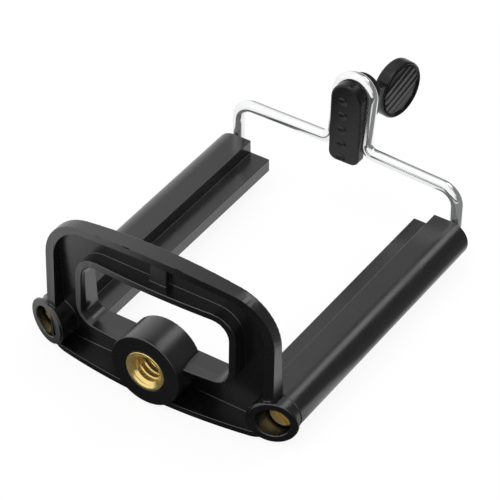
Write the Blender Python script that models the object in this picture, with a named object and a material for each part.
"""Spring-loaded phone clamp with a tripod socket.

The black jaw frame and its two tubular rails are one moulding. A bent wire jaw slides in the
rails, pulled towards the frame by a compression spring on each leg, and carries a rubber pad
with a pull tab. A threaded brass insert in the frame's boss takes the tripod screw.

Directions: X runs across the clamp, +Y from the frame to the wire jaw, +Z up. The working
coordinates have x = 0 midway between the rails, y = 0 at the rail mouths and z = 0 on the
rail axes. The empty "adapter" carries every piece to an origin under the middle of the clamp,
and the empty "sliding_jaw", on the slide's axis, holds the pieces that move.
"""

import math

import bmesh
import bpy
from mathutils import Matrix, Vector

MM = 0.001

# Clearances
SEAT_GAP = 0.15 * MM            # between pieces that are fixed to each other
SPRING_SEAT_GAP = 0.2 * MM      # between a spring's end and what it pushes on
SWALLOW = 0.5 * MM              # how deep a piece that is joined on reaches into its carrier
OVERRUN = 2.0 * MM              # how far a cutter runs past the face that it opens
SKIN_STEP = 0.05 * MM           # keeps two surfaces of one moulding from coinciding
SAME_POINT = 0.01 * MM          # two bends that meet share one point
WELD = 0.0005 * MM              # vertices closer than this become one

# Rails
RAIL_OUTSET = 0.1 * MM          # rail axis outside the frame's side
RAIL_REACH = 56.4 * MM          # from the frame's back face to the rail's far end
RAIL_RADIUS = 3.66 * MM
RAIL_FLAT = 3.76 * MM           # width of the flat top, inwards from the axis
SHELF_WIDTH = 4.24 * MM         # phone ledge beside the tube
SHELF_TOP = 0.92 * MM
SHELF_THICKNESS = 2.75 * MM
BORE_RADIUS = 2.85 * MM
MOUTH_CHAMFER = 0.24 * MM
END_WALL = 2.0 * MM             # wall at the far end that holds the spring
LEG_CLEARANCE = 0.3 * MM        # round the wire leg in the end wall
END_FLARE = 0.8 * MM            # countersink that lets the leg's bend in

# Rail mouths
COLLAR_RADIUS = 4.32 * MM
COLLAR_LIP = 0.6 * MM
MOUTH_SLANT = math.radians(19.7)

# Jaw frame
FRAME_BACK_Y = 4.2 * MM         # back face at the height of the rails
BACK_LEAN = math.radians(2.7)   # back face leans away from the phone
FRAME_HALF_WIDTH = 24.0 * MM
FRAME_BOTTOM_Z = -4.75 * MM
CORNER_RADIUS = 9.5 * MM
CORNER_Z = 15.5 * MM            # height of the top corners' centres
TOP_CROWN = 1.1 * MM            # rise of the top's middle above its corners
FOOT_RADIUS = 4.0 * MM
BACK_ROUND = 0.8 * MM
FRONT_EDGE_ROUND = 0.6 * MM
WEB = 1.1 * MM
RIM = 1.45 * MM
SIDE_RIM = 2.0 * MM
BOTTOM_RIM = 1.1 * MM
POCKET_FOOT_RADIUS = 1.0 * MM

# Bowed, leaning front surface of the jaw frame
FRONT_TOP_Y = -0.6 * MM
FRONT_TOP_BOW = 1.7 * MM        # set-back of the front at the sides, along the top
FRONT_BOTTOM_Y = -2.3 * MM
FRONT_BOTTOM_BOW = 2.6 * MM

# Window
WINDOW_SIDE_MARGIN = 8.9 * MM   # from the window to the frame's side
WINDOW_BOTTOM_Z = 5.2 * MM
WINDOW_TOP_Z = 17.6 * MM
WINDOW_TOP_RADIUS = 3.0 * MM
WINDOW_BOTTOM_RADIUS = 2.2 * MM
WINDOW_DRAFT = 0.15 * MM        # growth of the window from the back to its throat
WINDOW_THROAT_Y = 0.5 * MM      # where the lead-in starts to open
WINDOW_LEAD_IN = 0.6 * MM       # further growth at the front
SILL_SHARE = 0.4                # share of that growth at the window's sill
LEAD_IN_DEPTH = 2.2 * MM
FLANGE = 1.0 * MM               # wall round the window

# Stiffening rib over the window
RIB_WIDTH = 3.5 * MM
RIB_TOP_Y = 1.5 * MM
RIB_BOTTOM_Y = 0.8 * MM

# Tripod socket
BOSS_RADIUS = 7.18 * MM
BOSS_DRAFT = 0.15 * MM
BOSS_Z = 2.68 * MM
BOSS_FRONT_Y = -3.56 * MM
BOSS_BACK_STEP = 0.6 * MM       # the boss stops this far short of the frame's back
INSERT_RADIUS = 3.97 * MM
INSERT_LENGTH = 6.4 * MM
INSERT_PROUD = 0.1 * MM
THREAD_MINOR_RADIUS = 2.58 * MM  # quarter-inch tripod thread
THREAD_MOUTH_RADIUS = 3.7 * MM
THREAD_CHAMFER = 0.7 * MM
SCREW_ROOM = 0.3 * MM           # blind room behind the insert

# Wire jaw
WIRE_RADIUS = 1.2 * MM
WIRE_OFFSET = 1.5 * MM          # wire's upright plane behind the rails' far ends
LEG_BEND = 2.5 * MM
SHOULDER_BEND = 3.5 * MM
FOOT_BEND = 2.1 * MM
BAR_Z = 10.57 * MM
RIGHT_BAR_DROP = 1.0 * MM       # the right shoulder is bent lower than the left one
LOOP_X = 0.65 * MM
LOOP_HALF_WIDTH = 3.6 * MM
LOOP_HEIGHT = 14.2 * MM         # from the bars' centreline to the arch's centreline
LOOP_LEAN = math.radians(8.9)

# Jaw pad
PAD_HALF_WIDTH = 3.27 * MM
PAD_HEIGHT = 17.2 * MM
PAD_DROP = 2.8 * MM             # below the bars' centreline
PAD_THICKNESS = 2.0 * MM
PAD_FRONT = 2.1 * MM            # ahead of the wire's centre at the bars
PAD_LEAN = math.radians(2.0)
PAD_FOOT_RADIUS = 1.6 * MM
PAD_EDGE_ROUND = 0.35 * MM
DIMPLES = 5
DIMPLE_X = -0.5 * MM            # row of dimples from the middle of the pad
DIMPLE_PITCH = 3.17 * MM
DIMPLE_RADIUS = 1.0 * MM
DIMPLE_DEPTH = 0.4 * MM
DIMPLE_START = 0.9 * MM         # lowest dimple's centre above the pad's foot
NECK_START = 1.7 * MM           # pad's neck above the bars' centreline
BACKER_HALF_WIDTH = 3.6 * MM
BACKER_HEIGHT = 8.4 * MM
BACKER_START = 5.6 * MM         # backer's foot above the bars' centreline, along the loop
BACKER_DEPTH = 2.15 * MM

# Pull tab
TAB_RADIUS = 5.75 * MM
TAB_THICKNESS = 3.0 * MM
TAB_REACH = 10.45 * MM           # from the backer's back face to the disc's centre
TAB_DROOP = math.radians(24.0)
TAB_TWIST = math.radians(8.0)
TAB_ROUND = 0.6 * MM
TAB_RECESS = 0.35 * MM
TAB_RIM = 0.9 * MM
STEM_HEIGHT = 5.0 * MM
STEM_DROP = 0.8 * MM            # stem's middle below the disc's
STEM_THICKNESS = 2.4 * MM
GRIP_RIB_PITCH = 1.55 * MM
GRIP_RIB_RADIUS = 0.45 * MM
GRIP_RIBS = 5
GRIP_RIB_TILT = math.radians(48.0)

# Springs and their nuts
SPRING_WIRE_RADIUS = 0.3 * MM
SPRING_MEAN_RADIUS = 2.1 * MM
SPRING_TURNS = 16
SPRING_END_TURNS = 1.5
COIL_GAP = 0.06 * MM            # between the closed end coils
NUT_RADIUS = 2.5 * MM
NUT_LENGTH = 4.2 * MM
NUT_FRONT = 2.6 * MM            # nut's face behind the rail mouth
NUT_CROWN = 1.2 * MM            # solid metal ahead of the leg's end
NUT_CHAMFER = 0.25 * MM
SLOT_WIDTH = 0.8 * MM
SLOT_DEPTH = 0.7 * MM
SLOT_TILT = math.radians(-41.0)

# Facets
ROUND = 40                      # facets of a large circle
BORE_FACETS = 32
RAIL_FACETS = 28                # round side of a rail
CORNER_FACETS = 6
FOOT_FACETS = 4
ARCH_FACETS = 16
EDGE_FACETS = 2                 # segments of a small rounded edge
DIMPLE_FACETS = 20
BOW_STRIPS = 24
WIRE_SIDES = 12
WIRE_STEP = math.radians(9.0)   # turn between two points of a bend
RIB_SIDES = 10
SPRING_SIDES = 6
SPRING_STEPS = 10               # points in one turn

# Shading: an edge that turns by more than this stays sharp
BODY_CREASE = math.radians(32.0)
WIRE_CREASE = math.radians(45.0)
SPRING_CREASE = math.radians(75.0)

# Derived places
RAIL_X = FRAME_HALF_WIDTH + RAIL_OUTSET
WINDOW_HALF_WIDTH = FRAME_HALF_WIDTH - WINDOW_SIDE_MARGIN
WEB_FRONT_Y = FRAME_BACK_Y - WEB
RAIL_END_Y = FRAME_BACK_Y + RAIL_REACH
BORE_END_Y = RAIL_END_Y - END_WALL
WIRE_Y = RAIL_END_Y + WIRE_OFFSET
CORNER_X = FRAME_HALF_WIDTH - CORNER_RADIUS
FRAME_TOP_Z = CORNER_Z + CORNER_RADIUS + TOP_CROWN
BOSS_BACK_Y = FRAME_BACK_Y - BOSS_BACK_STEP
INSERT_FRONT_Y = BOSS_FRONT_Y - INSERT_PROUD
INSERT_BACK_Y = INSERT_FRONT_Y + INSERT_LENGTH
LEG_END_Y = NUT_FRONT + NUT_CROWN
NUT_BACK_Y = NUT_FRONT + NUT_LENGTH
FRONT_LIMIT_Y = BOSS_FRONT_Y - 2 * OVERRUN


def clear_scene():
    for obj in list(bpy.data.objects):
        bpy.data.objects.remove(obj, do_unlink=True)


def make_material(name, colour, roughness, metallic):
    material = bpy.data.materials.new(name)
    material.use_nodes = True
    shader = material.node_tree.nodes["Principled BSDF"]
    shader.inputs["Base Color"].default_value = (*colour, 1.0)
    shader.inputs["Roughness"].default_value = roughness
    shader.inputs["Metallic"].default_value = metallic
    return material


def make_object(name, shape, material=None):
    """Turn a bmesh into an object; one without a material is a hidden construction tool."""
    bmesh.ops.remove_doubles(shape, verts=shape.verts, dist=WELD)
    bmesh.ops.recalc_face_normals(shape, faces=shape.faces)
    mesh = bpy.data.meshes.new(name)
    shape.to_mesh(mesh)
    shape.free()
    obj = bpy.data.objects.new(name, mesh)
    bpy.context.scene.collection.objects.link(obj)
    if material is None:
        obj.hide_render = True
        obj.display_type = "WIRE"
    else:
        mesh.materials.append(material)
    return obj


def combine(body, tools, operation):
    for tool in tools:
        step = body.modifiers.new(tool.name, "BOOLEAN")
        step.operation = operation
        step.solver = "EXACT"
        step.object = tool


def settle(body, material=None):
    """Apply the body's modifiers, tidy the faces and remove the tools that it used."""
    tools = [step.object for step in body.modifiers if step.type == "BOOLEAN"]
    depsgraph = bpy.context.evaluated_depsgraph_get()
    mesh = bpy.data.meshes.new_from_object(body.evaluated_get(depsgraph))
    body.modifiers.clear()
    shape = bmesh.new()
    shape.from_mesh(mesh)
    bmesh.ops.remove_doubles(shape, verts=shape.verts, dist=WELD)
    bmesh.ops.dissolve_degenerate(shape, edges=shape.edges, dist=WELD)
    shape.to_mesh(mesh)
    shape.free()
    body.data = mesh
    mesh.materials.clear()
    if material is not None:
        mesh.materials.append(material)
        body.hide_render = False
        body.display_type = "TEXTURED"
    for tool in set(tools):
        bpy.data.objects.remove(tool, do_unlink=True)
    return body


def smooth(obj, angle=BODY_CREASE):
    obj.data.shade_smooth()
    obj.data.set_sharp_from_angle(angle=angle)


def arc(centre_x, centre_z, radius, start, end, facets):
    """Points in the X-Z plane from one angle to another, both ends included."""
    points = []
    for step in range(facets + 1):
        angle = start + (end - start) * step / facets
        points.append((centre_x + radius * math.cos(angle), centre_z + radius * math.sin(angle)))
    return points


def circle(centre_x, centre_z, radius, facets):
    return arc(centre_x, centre_z, radius, 0.0, math.tau * (1 - 1 / facets), facets - 1)


def loft(rings):
    """Closed solid through rings that have the same number of points, capped at both ends."""
    shape = bmesh.new()
    rows = [[shape.verts.new(point) for point in ring] for ring in rings]
    count = len(rows[0])
    for near, far in zip(rows, rows[1:]):
        for index in range(count):
            after = (index + 1) % count
            shape.faces.new((near[index], near[after], far[after], far[index]))
    shape.faces.new(rows[0])
    shape.faces.new(rows[-1])
    return shape


def prism(outline, start_y, end_y):
    """Outline of (x, z) points drawn along Y; either end may be a number or a rule of x, z."""
    def place(end):
        return [(x, end(x, z) if callable(end) else end, z) for x, z in outline]
    return loft([place(start_y), place(end_y)])


def turned(profile, facets):
    """Solid turned about the Y axis from (radius, y) points that start and end on the axis."""
    shape = bmesh.new()
    verts = [shape.verts.new((radius, y, 0.0)) for radius, y in profile]
    edges = [shape.edges.new(pair) for pair in zip(verts, verts[1:])]
    bmesh.ops.spin(shape, geom=verts + edges, cent=(0, 0, 0), axis=(0, 1, 0), angle=math.tau,
                   steps=facets, use_merge=True)
    bmesh.ops.remove_doubles(shape, verts=shape.verts, dist=WELD)
    bmesh.ops.dissolve_degenerate(shape, edges=shape.edges, dist=WELD)
    return shape


def moved(shape, matrix):
    bmesh.ops.transform(shape, matrix=matrix, verts=shape.verts)
    return shape


def bevel_edges(shape, wanted, width, segments):
    edges = [edge for edge in shape.edges if wanted(edge)]
    bmesh.ops.bevel(shape, geom=edges, offset=width, offset_type="OFFSET", segments=segments,
                    profile=0.5, affect="EDGES", clamp_overlap=True, material=-1)


def rounded_path(corners, bends):
    """Centreline through the corners, each inner corner rounded to its bend radius."""
    points = [corners[0]]
    for before, corner, after, bend in zip(corners, corners[1:], corners[2:], bends):
        towards = (before - corner).normalized()
        away = (after - corner).normalized()
        opening = towards.angle(away)
        setback = bend / math.tan(opening / 2)
        centre_line = (towards + away).normalized()
        centre = corner + centre_line * (bend / math.sin(opening / 2))
        start = corner + towards * setback - centre
        turn = math.pi - opening
        axis = towards.cross(away).normalized()
        steps = max(2, math.ceil(turn / WIRE_STEP))
        for step in range(steps + 1):
            spin = Matrix.Rotation(-turn * step / steps, 3, axis)
            point = centre + spin @ start
            if (point - points[-1]).length > SAME_POINT:
                points.append(point)
    points.append(corners[-1])
    return points


def tube(name, points, radius, sides, material=None):
    """Round bar along a centreline, drawn as a bevelled curve and turned into a mesh."""
    curve = bpy.data.curves.new(name, "CURVE")
    curve.dimensions = "3D"
    curve.twist_mode = "MINIMUM"
    curve.bevel_depth = radius
    curve.bevel_resolution = sides // 2 - 2
    curve.use_fill_caps = True
    spline = curve.splines.new("POLY")
    spline.points.add(len(points) - 1)
    for slot, point in zip(spline.points, points):
        slot.co = (*point, 1.0)
    guide = bpy.data.objects.new(name + "_line", curve)
    bpy.context.scene.collection.objects.link(guide)
    depsgraph = bpy.context.evaluated_depsgraph_get()
    mesh = bpy.data.meshes.new_from_object(guide.evaluated_get(depsgraph))
    shape = bmesh.new()
    shape.from_mesh(mesh)
    bpy.data.objects.remove(guide, do_unlink=True)
    bpy.data.meshes.remove(mesh)
    return make_object(name, shape, material)


def frame_outline(inset, foot_inset, foot_radius):
    """Outer outline of the jaw frame, drawn in by an inset; top crowned, corners round."""
    corner = CORNER_RADIUS - inset
    drop = CORNER_Z - FRAME_TOP_Z
    crown_radius = (CORNER_X**2 + drop**2 - CORNER_RADIUS**2) / (-2 * (CORNER_RADIUS + drop))
    crown_z = FRAME_TOP_Z - crown_radius
    sweep = math.atan2(CORNER_Z - crown_z, CORNER_X)
    side = FRAME_HALF_WIDTH - inset
    foot_z = FRAME_BOTTOM_Z + foot_inset
    foot_x = side - foot_radius
    right = arc(foot_x, foot_z + foot_radius, foot_radius, -math.pi / 2, 0.0, CORNER_FACETS)
    right += arc(CORNER_X, CORNER_Z, corner, 0.0, sweep, 2 * CORNER_FACETS)
    crown = arc(0.0, crown_z, crown_radius - inset, sweep, math.pi - sweep, 2 * CORNER_FACETS)
    left = [(-x, z) for x, z in reversed(right)]
    return right + crown[1:-1] + left


def window_outline(growth):
    """Window's rounded outline, grown outwards; its sill grows less."""
    side = WINDOW_HALF_WIDTH + growth
    low = WINDOW_BOTTOM_Z - growth * SILL_SHARE
    high = WINDOW_TOP_Z + growth
    low_r = WINDOW_BOTTOM_RADIUS + growth
    high_r = WINDOW_TOP_RADIUS + growth
    quarter = math.pi / 2
    right = arc(side - low_r, low + low_r, low_r, -quarter, 0.0, CORNER_FACETS)
    right += arc(side - high_r, high - high_r, high_r, 0.0, quarter, CORNER_FACETS)
    return right + [(-x, z) for x, z in reversed(right)]


def front_surface(x, z):
    """Depth of the jaw frame's bowed front at a place on it."""
    share = (FRAME_TOP_Z - z) / (FRAME_TOP_Z - FRAME_BOTTOM_Z)
    across = (x / FRAME_HALF_WIDTH) ** 2
    top = FRONT_TOP_Y + FRONT_TOP_BOW * across
    bottom = FRONT_BOTTOM_Y + FRONT_BOTTOM_BOW * across
    return top + (bottom - top) * share


def back_surface(x, z):
    """Depth of the jaw frame's leaning back face."""
    return FRAME_BACK_Y - math.tan(BACK_LEAN) * z


def web_surface(x, z):
    """Depth of the pocket's floor, parallel to the back face."""
    return back_surface(x, z) - WEB


def mouth_plane(side, offset):
    """Rule for a plane parallel to a slanted rail mouth, a given distance behind it."""
    def depth(x, z):
        return offset + math.tan(MOUTH_SLANT) * (side * x - RAIL_X)
    return depth


def frame_blank():
    """Block of the jaw frame between its bowed front and its back, with its edges rounded."""
    shape = prism(frame_outline(0.0, 0.0, FOOT_RADIUS), FRONT_LIMIT_Y, back_surface)
    bmesh.ops.recalc_face_normals(shape, faces=shape.faces)
    bevel_edges(shape, lambda edge: all(v.co.y > FRONT_LIMIT_Y for v in edge.verts),
                BACK_ROUND, EDGE_FACETS + 1)
    blank = make_object("jaw_frame", shape)
    combine(blank, [bow_cutter()], "DIFFERENCE")
    settle(blank)
    shape = bmesh.new()
    shape.from_mesh(blank.data)

    def front_rim(edge):
        if any(vert.co.y > FRAME_BACK_Y / 2 for vert in edge.verts):
            return False
        return edge.calc_face_angle(0.0) > math.pi / 4

    shape.normal_update()
    bevel_edges(shape, front_rim, FRONT_EDGE_ROUND, EDGE_FACETS)
    shape.to_mesh(blank.data)
    shape.free()
    return blank


def bow_cutter():
    """Everything ahead of the bowed front surface."""
    span = FRAME_HALF_WIDTH + OVERRUN
    outline = []
    for step in range(BOW_STRIPS + 1):
        outline.append(-span + 2 * span * step / BOW_STRIPS)
    low = FRAME_BOTTOM_Z - OVERRUN
    high = FRAME_TOP_Z + OVERRUN
    shape = bmesh.new()
    rows = []
    for z, surface in ((low, False), (low, True), (high, True), (high, False)):
        row = []
        for x in outline:
            y = front_surface(x, z) if surface else FRONT_LIMIT_Y - OVERRUN
            row.append(shape.verts.new((x, y, z)))
        rows.append(row)
    for near, far in zip(rows, rows[1:] + rows[:1]):
        for index in range(BOW_STRIPS):
            shape.faces.new((near[index], near[index + 1], far[index + 1], far[index]))
    shape.faces.new([row[0] for row in rows])
    shape.faces.new([row[-1] for row in rows])
    bmesh.ops.triangulate(shape, faces=shape.faces)
    return make_object("bow", shape)


def pocket():
    """Hollow behind the rim, less the window's wall, the rib, the boss and the collars."""
    narrow = (FRAME_HALF_WIDTH - SIDE_RIM) / (FRAME_HALF_WIDTH - RIM)
    outline = frame_outline(RIM, BOTTOM_RIM, POCKET_FOOT_RADIUS)
    outline = [(x * narrow, z) for x, z in outline]
    body = make_object("pocket", prism(outline, FRONT_LIMIT_Y, web_surface))
    wall = window_outline(WINDOW_DRAFT + WINDOW_LEAD_IN + FLANGE)
    keep = [make_object("window_wall", prism(wall, FRONT_LIMIT_Y - OVERRUN, FRAME_BACK_Y))]
    keep.append(make_object("rib", rib()))
    keep.append(make_object("boss_core", boss(FRONT_LIMIT_Y - OVERRUN)))
    for side in (-1, 1):
        ring = circle(side * RAIL_X, 0.0, COLLAR_RADIUS, ROUND)
        keep.append(make_object("collar_core", prism(ring, FRONT_LIMIT_Y - OVERRUN, FRAME_BACK_Y)))
    combine(body, keep, "DIFFERENCE")
    return settle(body)


def rib():
    half = RIB_WIDTH / 2
    low = WINDOW_TOP_Z
    high = FRAME_TOP_Z - RIM / 2
    outline = [(-half, low), (half, low), (half, high), (-half, high)]

    def face(x, z):
        return RIB_BOTTOM_Y + (RIB_TOP_Y - RIB_BOTTOM_Y) * (z - low) / (high - low)

    return prism(outline, face, FRAME_BACK_Y)


def window():
    """Tapered cutter for the window, with a steeper lead-in at the front."""
    widest = WINDOW_DRAFT + WINDOW_LEAD_IN
    steps = ((FRONT_LIMIT_Y, widest), (WINDOW_THROAT_Y - LEAD_IN_DEPTH, widest),
             (WINDOW_THROAT_Y, WINDOW_DRAFT), (FRAME_BACK_Y + OVERRUN, 0.0))
    rings = []
    for y, growth in steps:
        rings.append([(x, y, z) for x, z in window_outline(growth)])
    return make_object("window", loft(rings))


def boss(front_y):
    front = [(x, front_y, z) for x, z in circle(0.0, BOSS_Z, BOSS_RADIUS, ROUND)]
    rear = circle(0.0, BOSS_Z, BOSS_RADIUS - BOSS_DRAFT, ROUND)
    return loft([front, [(x, BOSS_BACK_Y, z) for x, z in rear]])


def collar(side):
    """Slanted lip round a rail mouth."""
    ring = circle(side * RAIL_X, 0.0, COLLAR_RADIUS, ROUND)
    return make_object("collar", prism(ring, mouth_plane(side, 0.0), mouth_plane(side, COLLAR_LIP)))


def collar_wall(side):
    """Half of the collar inside the frame's outline, from the lip to the web."""
    quarter = math.pi / 2
    ring = arc(0.0, 0.0, COLLAR_RADIUS - SKIN_STEP, quarter, 3 * quarter, ROUND // 2)
    ring = [(side * (RAIL_X - SWALLOW + x), z) for x, z in ring]
    start = mouth_plane(side, COLLAR_LIP / 2)
    return make_object("collar_wall", prism(ring, start, WEB_FRONT_Y + SWALLOW))


def rail_root(side):
    """Tube between the lip and the rail."""
    ring = circle(side * RAIL_X, 0.0, RAIL_RADIUS - SKIN_STEP, BORE_FACETS)
    return make_object("rail_root", prism(ring, mouth_plane(side, COLLAR_LIP / 2),
                                          FRAME_BACK_Y + SWALLOW))


def rail(side):
    """Tube with a flat top and the phone ledge on its inner side."""
    shelf_bottom = SHELF_TOP - SHELF_THICKNESS
    meet = math.pi - math.asin(shelf_bottom / RAIL_RADIUS)
    edge = -RAIL_FLAT - SHELF_WIDTH
    section = [(edge, shelf_bottom), (edge, SHELF_TOP), (-RAIL_FLAT, SHELF_TOP),
               (-RAIL_FLAT, RAIL_RADIUS)]
    round_side = arc(0.0, 0.0, RAIL_RADIUS, math.pi / 2, meet - math.tau, RAIL_FACETS)
    outline = [(side * (RAIL_X + x), z) for x, z in section + round_side]
    return make_object("rail", prism(outline, FRAME_BACK_Y - SWALLOW, RAIL_END_Y))


def rail_bore(side):
    """Bore with its mouth chamfer, the spring seat, and the leg's flared hole."""
    hole = WIRE_RADIUS + LEG_CLEARANCE
    ahead = -COLLAR_RADIUS
    profile = [(0.0, ahead), (BORE_RADIUS, ahead), (BORE_RADIUS, BORE_END_Y), (hole, BORE_END_Y),
               (hole, RAIL_END_Y - END_FLARE), (hole + END_FLARE + SWALLOW, RAIL_END_Y + SWALLOW),
               (0.0, RAIL_END_Y + SWALLOW)]
    shape = moved(turned(profile, BORE_FACETS), Matrix.Translation((side * RAIL_X, 0.0, 0.0)))
    return make_object("rail_bore", shape)


def mouth_chamfer(side):
    """Lead-in at a rail mouth, parallel to its slanted face; its facets lie between the bore's."""
    start = math.pi / BORE_FACETS
    end = math.tau - start
    centre = side * RAIL_X
    wide = arc(centre, 0.0, BORE_RADIUS + 2 * MOUTH_CHAMFER, start, end, BORE_FACETS - 1)
    fine = arc(centre, 0.0, BORE_RADIUS - MOUTH_CHAMFER, start, end, BORE_FACETS - 1)
    ahead = mouth_plane(side, -MOUTH_CHAMFER)
    behind = mouth_plane(side, 2 * MOUTH_CHAMFER)
    rings = [[(x, ahead(x, z), z) for x, z in wide], [(x, behind(x, z), z) for x, z in fine]]
    return make_object("mouth_chamfer", loft(rings))


def insert_hole():
    """Blind hole in the boss for the threaded insert and the screw's end."""
    radius = INSERT_RADIUS + SEAT_GAP
    seat_y = INSERT_BACK_Y + SEAT_GAP
    profile = [(0.0, FRONT_LIMIT_Y), (radius, FRONT_LIMIT_Y), (radius, seat_y),
               (THREAD_MINOR_RADIUS, seat_y), (THREAD_MINOR_RADIUS, seat_y + SCREW_ROOM),
               (0.0, seat_y + SCREW_ROOM)]
    shape = moved(turned(profile, ROUND), Matrix.Translation((0.0, 0.0, BOSS_Z)))
    return make_object("insert_hole", shape)


def jaw_frame(material):
    body = frame_blank()
    combine(body, [pocket(), window()], "DIFFERENCE")
    settle(body)
    combine(body, [make_object("boss", boss(BOSS_FRONT_Y))], "UNION")
    for side in (-1, 1):
        combine(body, [rail(side), rail_root(side), collar_wall(side), collar(side)], "UNION")
    settle(body)
    for side in (-1, 1):
        combine(body, [rail_bore(side), mouth_chamfer(side)], "DIFFERENCE")
    combine(body, [insert_hole()], "DIFFERENCE")
    settle(body, material)
    smooth(body)
    return body


def thread_insert(material):
    """Brass bush; its bore has the thread's minor size."""
    mouth = THREAD_MOUTH_RADIUS
    outline = [(mouth, 0.0), (INSERT_RADIUS, 0.0), (INSERT_RADIUS, INSERT_LENGTH),
               (THREAD_MINOR_RADIUS, INSERT_LENGTH), (THREAD_MINOR_RADIUS, THREAD_CHAMFER),
               (mouth, 0.0)]
    shape = turned(outline, ROUND)
    moved(shape, Matrix.Translation((0.0, INSERT_FRONT_Y, BOSS_Z)))
    body = make_object("thread_insert", shape, material)
    smooth(body)
    return body


def loop_frame():
    """Axes of the leaning loop: X across, Y out of its back, Z up its legs."""
    lean = Matrix.Rotation(-LOOP_LEAN, 4, "X")
    return Matrix.Translation((LOOP_X, WIRE_Y, BAR_Z)) @ lean


def wire_line():
    """Centreline of the wire jaw from the right leg's end to the left leg's end."""
    right_bar_z = BAR_Z - RIGHT_BAR_DROP
    loop = loop_frame()
    corners = [Vector((RAIL_X, LEG_END_Y + SEAT_GAP, 0.0)),
               Vector((RAIL_X, WIRE_Y, 0.0)),
               Vector((RAIL_X, WIRE_Y, right_bar_z)),
               loop @ Vector((LOOP_HALF_WIDTH, 0.0, 0.0)),
               loop @ Vector((LOOP_HALF_WIDTH, 0.0, LOOP_HEIGHT)),
               loop @ Vector((-LOOP_HALF_WIDTH, 0.0, LOOP_HEIGHT)),
               loop @ Vector((-LOOP_HALF_WIDTH, 0.0, 0.0)),
               Vector((-RAIL_X, WIRE_Y, BAR_Z)),
               Vector((-RAIL_X, WIRE_Y, 0.0)),
               Vector((-RAIL_X, LEG_END_Y + SEAT_GAP, 0.0))]
    arch = LOOP_HALF_WIDTH
    bends = [LEG_BEND, SHOULDER_BEND, FOOT_BEND, arch, arch, FOOT_BEND, SHOULDER_BEND, LEG_BEND]
    return rounded_path(corners, bends)


def jaw_wire(material):
    body = tube("jaw_wire", wire_line(), WIRE_RADIUS, WIRE_SIDES, material)
    smooth(body, WIRE_CREASE)
    return body


def arch_outline(half_width, low, high, foot_radius):
    """Upright outline with a half-round top and rounded feet."""
    quarter = math.pi / 2
    right = arc(half_width - foot_radius, low + foot_radius, foot_radius, -quarter, 0.0,
                FOOT_FACETS)
    top = arc(0.0, high - half_width, half_width, 0.0, math.pi, ARCH_FACETS)
    left = [(-x, z) for x, z in reversed(right)]
    return right + top + left


def pad_plate():
    """Front of the pad with its edges rounded."""
    outline = arch_outline(PAD_HALF_WIDTH, 0.0, PAD_HEIGHT, PAD_FOOT_RADIUS)
    shape = prism(outline, 0.0, PAD_THICKNESS)
    bmesh.ops.recalc_face_normals(shape, faces=shape.faces)
    bevel_edges(shape, lambda edge: all(v.co.y < PAD_THICKNESS / 2 for v in edge.verts),
                PAD_EDGE_ROUND, EDGE_FACETS)
    return moved(shape, pad_frame())


def pad_frame():
    """Axes of the pad's face: X across, Y into the pad, Z up, from the middle of its foot."""
    lean = Matrix.Rotation(-PAD_LEAN, 4, "X")
    place = Matrix.Translation((LOOP_X, WIRE_Y - PAD_FRONT, BAR_Z))
    return place @ lean @ Matrix.Translation((0.0, 0.0, -PAD_DROP))


def dimple(row):
    """Shallow round hollow in the pad's face."""
    ball_radius = (DIMPLE_RADIUS**2 + DIMPLE_DEPTH**2) / (2 * DIMPLE_DEPTH)
    shape = bmesh.new()
    bmesh.ops.create_uvsphere(shape, u_segments=DIMPLE_FACETS, v_segments=DIMPLE_FACETS,
                              radius=ball_radius)
    height = DIMPLE_START + DIMPLE_PITCH * row
    place = Matrix.Translation((DIMPLE_X, DIMPLE_DEPTH - ball_radius, height))
    pole = Matrix.Rotation(math.pi / 2, 4, "X")
    return make_object("dimple", moved(shape, pad_frame() @ place @ pole))


def pad_neck():
    """Part of the pad that fills the loop, between the plate and the backer."""
    half = LOOP_HALF_WIDTH - WIRE_RADIUS - SEAT_GAP
    high = LOOP_HEIGHT - WIRE_RADIUS - SEAT_GAP
    outline = arch_outline(half, NECK_START, high, PAD_FOOT_RADIUS)
    back = WIRE_RADIUS + SEAT_GAP + SWALLOW
    return make_object("pad_neck", moved(prism(outline, -PAD_FRONT, back), loop_frame()))


def pad_backer():
    """Block behind the loop that the tab grows from."""
    front = WIRE_RADIUS + SEAT_GAP
    outline = arch_outline(BACKER_HALF_WIDTH, BACKER_START, BACKER_START + BACKER_HEIGHT,
                           PAD_FOOT_RADIUS)
    shape = prism(outline, front, front + BACKER_DEPTH)
    bmesh.ops.recalc_face_normals(shape, faces=shape.faces)
    rear = front + BACKER_DEPTH / 2
    bevel_edges(shape, lambda edge: all(v.co.y > rear for v in edge.verts),
                PAD_EDGE_ROUND, EDGE_FACETS)
    return make_object("pad_backer", moved(shape, loop_frame()))


def tab_frame():
    """Axes of the tab: X across its faces, Y along it from the backer, Z up."""
    root = Vector((0.0, WIRE_RADIUS + SEAT_GAP + BACKER_DEPTH, BACKER_START + BACKER_HEIGHT / 2))
    place = Matrix.Translation(loop_frame() @ root)
    twist = Matrix.Rotation(-TAB_TWIST, 4, "Z")
    droop = Matrix.Rotation(-TAB_DROOP, 4, "X")
    return place @ twist @ droop


def tab_disc():
    """Round grip with recessed faces inside a rounded rim."""
    half = TAB_THICKNESS / 2
    inner = TAB_RADIUS - TAB_RIM
    rim = [(inner, half - TAB_RECESS), (inner + TAB_RECESS, half)]
    rim += arc(TAB_RADIUS - TAB_ROUND, half - TAB_ROUND, TAB_ROUND, math.pi / 2, 0.0,
               EDGE_FACETS + 1)
    profile = [(0.0, half - TAB_RECESS)] + rim
    profile += [(radius, -depth) for radius, depth in reversed(profile)]
    shape = turned(profile, ROUND)
    upright = Matrix.Rotation(math.pi / 2, 4, "Z")
    return moved(shape, tab_frame() @ Matrix.Translation((0.0, TAB_REACH, 0.0)) @ upright)


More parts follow.
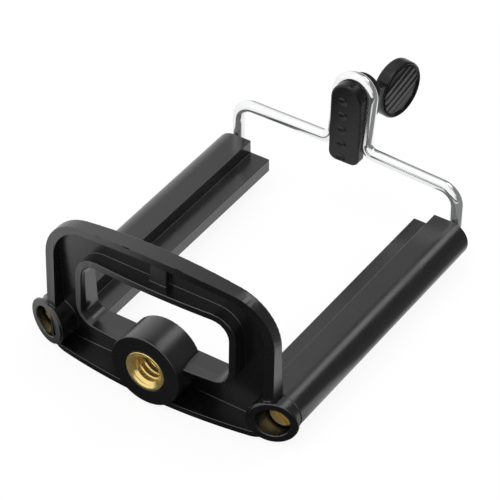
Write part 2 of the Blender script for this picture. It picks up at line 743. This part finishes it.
def tab_stem():
    shape = bmesh.new()
    bmesh.ops.create_cube(shape, size=1.0)
    start = -BACKER_DEPTH / 2
    end = TAB_REACH - TAB_RADIUS / 2
    size = Matrix.Diagonal((STEM_THICKNESS, end - start, STEM_HEIGHT, 1.0))
    moved(shape, Matrix.Translation((0.0, (start + end) / 2, -STEM_DROP)) @ size)
    bmesh.ops.recalc_face_normals(shape, faces=shape.faces)
    bevel_edges(shape, lambda edge: edge.verts[0].co.y * edge.verts[1].co.y < 0.0,
                STEM_THICKNESS / 4, EDGE_FACETS)
    return make_object("tab_stem", moved(shape, tab_frame()))


def grip_rib(face, index):
    """Round ridge across a recessed face of the tab, its ends under the rim."""
    offset = (index - (GRIP_RIBS - 1) / 2) * GRIP_RIB_PITCH
    inner = TAB_RADIUS - TAB_RIM + TAB_RECESS / 2
    reach = math.sqrt(inner**2 - offset**2)
    depth = face * (TAB_THICKNESS / 2 - TAB_RECESS - GRIP_RIB_RADIUS / 3)
    across = Vector((0.0, math.sin(GRIP_RIB_TILT), -math.cos(GRIP_RIB_TILT)))
    along = Vector((0.0, math.cos(GRIP_RIB_TILT), math.sin(GRIP_RIB_TILT)))
    centre = Vector((depth, TAB_REACH, 0.0)) + across * offset
    ends = [tab_frame() @ (centre + along * sign * reach) for sign in (-1, 1)]
    return tube("grip_rib", ends, GRIP_RIB_RADIUS, RIB_SIDES)


def jaw_pad(material):
    body = make_object("jaw_pad", pad_plate())
    combine(body, [pad_neck(), pad_backer(), tab_stem()], "UNION")
    combine(body, [make_object("tab_disc", tab_disc())], "UNION")
    settle(body)
    combine(body, [dimple(row) for row in range(DIMPLES)], "DIFFERENCE")
    groove = tube("wire_groove", wire_line(), WIRE_RADIUS + SEAT_GAP, WIRE_SIDES)
    combine(body, [groove], "DIFFERENCE")
    settle(body)
    for face in (-1, 1):
        combine(body, [grip_rib(face, index) for index in range(GRIP_RIBS)], "UNION")
    settle(body, material)
    smooth(body)
    return body


def spring(name, side, material):
    """Compression spring with closed ends, between the nut and the rail's end wall."""
    closed_pitch = 2 * SPRING_WIRE_RADIUS + COIL_GAP
    start = NUT_BACK_Y + SPRING_SEAT_GAP + SPRING_WIRE_RADIUS
    end = BORE_END_Y - SPRING_SEAT_GAP - SPRING_WIRE_RADIUS
    closed = closed_pitch * SPRING_END_TURNS
    open_turns = SPRING_TURNS - 2 * SPRING_END_TURNS
    open_pitch = (end - start - 2 * closed) / open_turns
    points = []
    for step in range(SPRING_TURNS * SPRING_STEPS + 1):
        turn = step / SPRING_STEPS
        near = min(turn, SPRING_END_TURNS)
        far = max(turn - SPRING_END_TURNS - open_turns, 0.0)
        middle = turn - near - far
        y = start + (near + far) * closed_pitch + middle * open_pitch
        angle = math.tau * turn
        points.append(Vector((SPRING_MEAN_RADIUS * math.cos(angle), y,
                              SPRING_MEAN_RADIUS * math.sin(angle))))
    body = tube(name, points, SPRING_WIRE_RADIUS, SPRING_SIDES, material)
    smooth(body, SPRING_CREASE)
    body.location = (side * RAIL_X, 0.0, 0.0)
    return body


def leg_nut(name, side, material):
    """Slotted cap nut on the front end of a wire leg, with its origin on the rail's axis."""
    hole = WIRE_RADIUS + SEAT_GAP
    profile = [(0.0, 0.0), (NUT_RADIUS - NUT_CHAMFER, 0.0), (NUT_RADIUS, NUT_CHAMFER),
               (NUT_RADIUS, NUT_LENGTH), (hole, NUT_LENGTH), (hole, NUT_CROWN), (0.0, NUT_CROWN)]
    body = make_object(name, turned(profile, BORE_FACETS))
    slot = bmesh.new()
    bmesh.ops.create_cube(slot, size=1.0)
    size = Matrix.Diagonal((3 * NUT_RADIUS, 2 * SLOT_DEPTH, SLOT_WIDTH, 1.0))
    tilt = Matrix.Rotation(-SLOT_TILT, 4, "Y")
    combine(body, [make_object("slot", moved(slot, tilt @ size))], "DIFFERENCE")
    settle(body, material)
    smooth(body)
    body.location = (side * RAIL_X, NUT_FRONT, 0.0)
    return body


def carrier(name, place, parent=None):
    """Empty that other objects hang from."""
    empty = bpy.data.objects.new(name, None)
    empty.location = place
    empty.parent = parent
    bpy.context.scene.collection.objects.link(empty)
    return empty


def box_of(pieces):
    """Lowest and highest corner of the pieces, in working coordinates."""
    corners = [piece.location + vert.co for piece in pieces for vert in piece.data.vertices]
    lowest = Vector([min(corner[axis] for corner in corners) for axis in range(3)])
    highest = Vector([max(corner[axis] for corner in corners) for axis in range(3)])
    return lowest, highest


def build():
    clear_scene()
    black_plastic = make_material("black_plastic", (0.012, 0.012, 0.013), 0.28, 0.0)
    black_rubber = make_material("black_rubber", (0.014, 0.014, 0.014), 0.55, 0.0)
    chrome = make_material("chrome", (0.82, 0.84, 0.86), 0.08, 1.0)
    brass = make_material("brass", (0.86, 0.62, 0.26), 0.2, 1.0)
    spring_steel = make_material("spring_steel", (0.55, 0.56, 0.58), 0.3, 1.0)
    fixed = [jaw_frame(black_plastic), thread_insert(brass)]
    sliding = [jaw_wire(chrome), jaw_pad(black_rubber)]
    for side, word in ((-1, "left"), (1, "right")):
        fixed.append(spring("spring_" + word, side, spring_steel))
        sliding.append(leg_nut("leg_nut_" + word, side, brass))
    lowest, highest = box_of(fixed + sliding)
    middle = (lowest + highest) / 2
    adapter = carrier("adapter", (-middle.x, -middle.y, -lowest.z))
    sliding_jaw = carrier("sliding_jaw", (0.0, 0.0, 0.0), adapter)
    for piece in fixed:
        piece.parent = adapter
    for piece in sliding:
        piece.parent = sliding_jaw


build()
